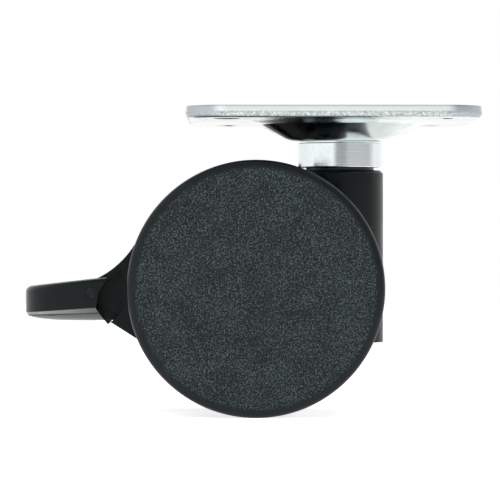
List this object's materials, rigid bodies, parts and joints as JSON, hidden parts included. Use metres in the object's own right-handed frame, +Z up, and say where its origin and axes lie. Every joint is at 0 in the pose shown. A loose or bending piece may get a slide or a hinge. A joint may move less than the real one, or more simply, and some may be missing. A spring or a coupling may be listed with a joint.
{
  "type": "braked plate castor",
  "caption": "Black twin-wheel swivel castor on a zinc-plated square screw plate, with a rear foot pedal that locks the wheels.",
  "frame": {"origin": "centre of the screw plate on its top face, where it meets the furniture", "axes": "+Z up out of the plate's top face, -X towards the trailing wheels and the brake pedal, Y along the wheel axle"},
  "size_m": [0.0898, 0.0576, 0.0604],
  "materials": {
    "plated_sheet": "bright zinc plate",
    "plated_stem": "turned and zinc plated",
    "spring_steel": "oiled spring steel",
    "bearing_plastic": "moulded acetal",
    "housing_plastic": "moulded satin polyamide",
    "wheel_plastic": "spark-eroded moulded polyamide",
    "pedal_plastic": "moulded gloss polyamide"
  },
  "bodies": {
    "plate": {"top_plate": "plated_sheet", "swivel_stem": "plated_stem", "stem_snap_ring": "spring_steel"},
    "swivel": {"thrust_washer": "bearing_plastic", "swivel_bush": "bearing_plastic", "housing": "housing_plastic", "axle": "plated_stem", "axle_clip_near": "spring_steel", "axle_clip_far": "spring_steel", "pedal_pin": "spring_steel", "return_spring": "spring_steel"},
    "near_wheel": {"wheel_near": "wheel_plastic"},
    "far_wheel": {"wheel_far": "wheel_plastic"},
    "pedal": {"brake_pedal": "pedal_plastic"},
    "slider": {"brake_slider": "housing_plastic"}
  },
  "joints": [
    {"name": "swivel_turn", "type": "hinge", "parent": "plate", "child": "swivel", "pos_m": [0.0017, 0, -0.0115], "axis": [0, 0, 1], "continuous": true},
    {"name": "near_wheel_roll", "type": "hinge", "parent": "swivel", "child": "near_wheel", "pos_m": [-0.01505, -0.0163, -0.0354], "axis": [0, 1, 0], "continuous": true},
    {"name": "far_wheel_roll", "type": "hinge", "parent": "swivel", "child": "far_wheel", "pos_m": [-0.01505, 0.0163, -0.0354], "axis": [0, 1, 0], "continuous": true},
    {"name": "pedal_press", "type": "hinge", "parent": "swivel", "child": "pedal", "pos_m": [-0.04745, 0, -0.0363], "axis": [0, -1, 0], "range_deg": [0, 18]},
    {"name": "slider_travel", "type": "slide", "parent": "swivel", "child": "slider", "axis": [1, 0, 0], "range_m": [0, 0.00116], "deforming": ["return_spring"]}
  ],
  "couplings": [
    {"joint": "pedal_press", "follows": "slider_travel", "rad_per_m": 271.39}
  ]
}
